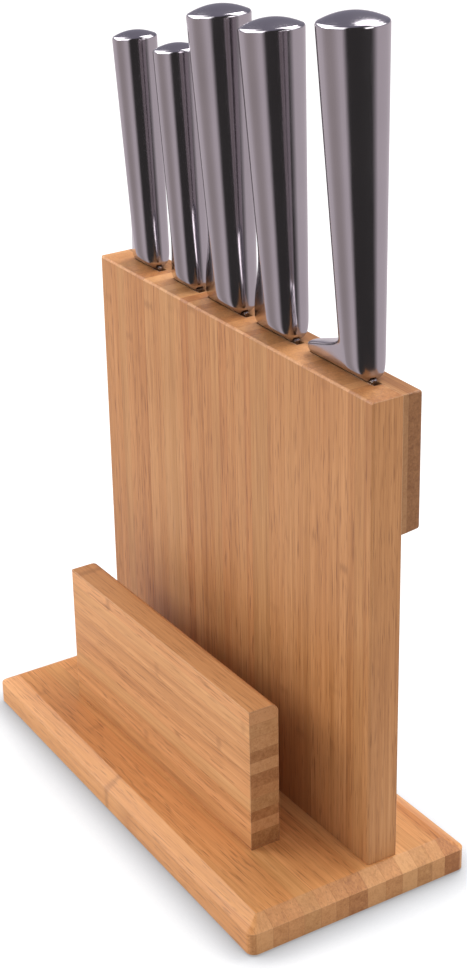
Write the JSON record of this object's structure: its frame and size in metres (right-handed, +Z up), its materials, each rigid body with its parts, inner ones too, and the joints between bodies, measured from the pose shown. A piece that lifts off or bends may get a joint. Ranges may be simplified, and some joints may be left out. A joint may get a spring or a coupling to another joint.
{
  "type": "knife block with knives",
  "caption": "Upright bamboo board on a wide base, with steel knives standing in slots along its top, a rear cheek that closes the slots, and a low front rail for a book or tablet.",
  "frame": {"origin": "on the surface that the feet stand on, under the middle of the base board", "axes": "+X along the base board towards the chef's knife, +Y to the back, +Z up"},
  "size_m": [0.248, 0.1146, 0.3829],
  "materials": {
    "bamboo": "caramelised laminated bamboo, satin oil",
    "dowel_wood": "plain beech dowel",
    "screw_steel": "zinc plated",
    "foot_rubber": "matt black",
    "blade_steel": "fine ground stainless steel",
    "handle_steel": "satin polished stainless steel"
  },
  "bodies": {
    "block": {"base_board": "bamboo", "upright_board": "bamboo", "rear_cheek": "bamboo", "front_rail": "bamboo", "upright_screws": "screw_steel", "rail_screws": "screw_steel", "upright_dowels": "dowel_wood", "rail_dowels": "dowel_wood", "rubber_feet": "foot_rubber"},
    "paring_knife": {"paring_blade": "blade_steel", "paring_bolster": "handle_steel", "paring_handle": "handle_steel", "paring_butt_cap": "handle_steel"},
    "utility_knife": {"utility_blade": "blade_steel", "utility_bolster": "handle_steel", "utility_handle": "handle_steel", "utility_butt_cap": "handle_steel"},
    "bread_knife": {"bread_blade": "blade_steel", "bread_bolster": "handle_steel", "bread_handle": "handle_steel", "bread_butt_cap": "handle_steel"},
    "carving_knife": {"carving_blade": "blade_steel", "carving_bolster": "handle_steel", "carving_handle": "handle_steel", "carving_butt_cap": "handle_steel"},
    "chef_knife": {"chef_blade": "blade_steel", "chef_bolster": "handle_steel", "chef_handle": "handle_steel", "chef_butt_cap": "handle_steel"}
  },
  "joints": [
    {"name": "paring_lift", "type": "slide", "parent": "block", "child": "paring_knife", "axis": [0, 0, 1], "range_m": [0, 0.105]},
    {"name": "utility_lift", "type": "slide", "parent": "block", "child": "utility_knife", "axis": [0, 0, 1], "range_m": [0, 0.14]},
    {"name": "bread_lift", "type": "slide", "parent": "block", "child": "bread_knife", "axis": [0, 0, 1], "range_m": [0, 0.215]},
    {"name": "carving_lift", "type": "slide", "parent": "block", "child": "carving_knife", "axis": [0, 0, 1], "range_m": [0, 0.215]},
    {"name": "chef_lift", "type": "slide", "parent": "block", "child": "chef_knife", "axis": [0, 0, 1], "range_m": [0, 0.215]}
  ]
}
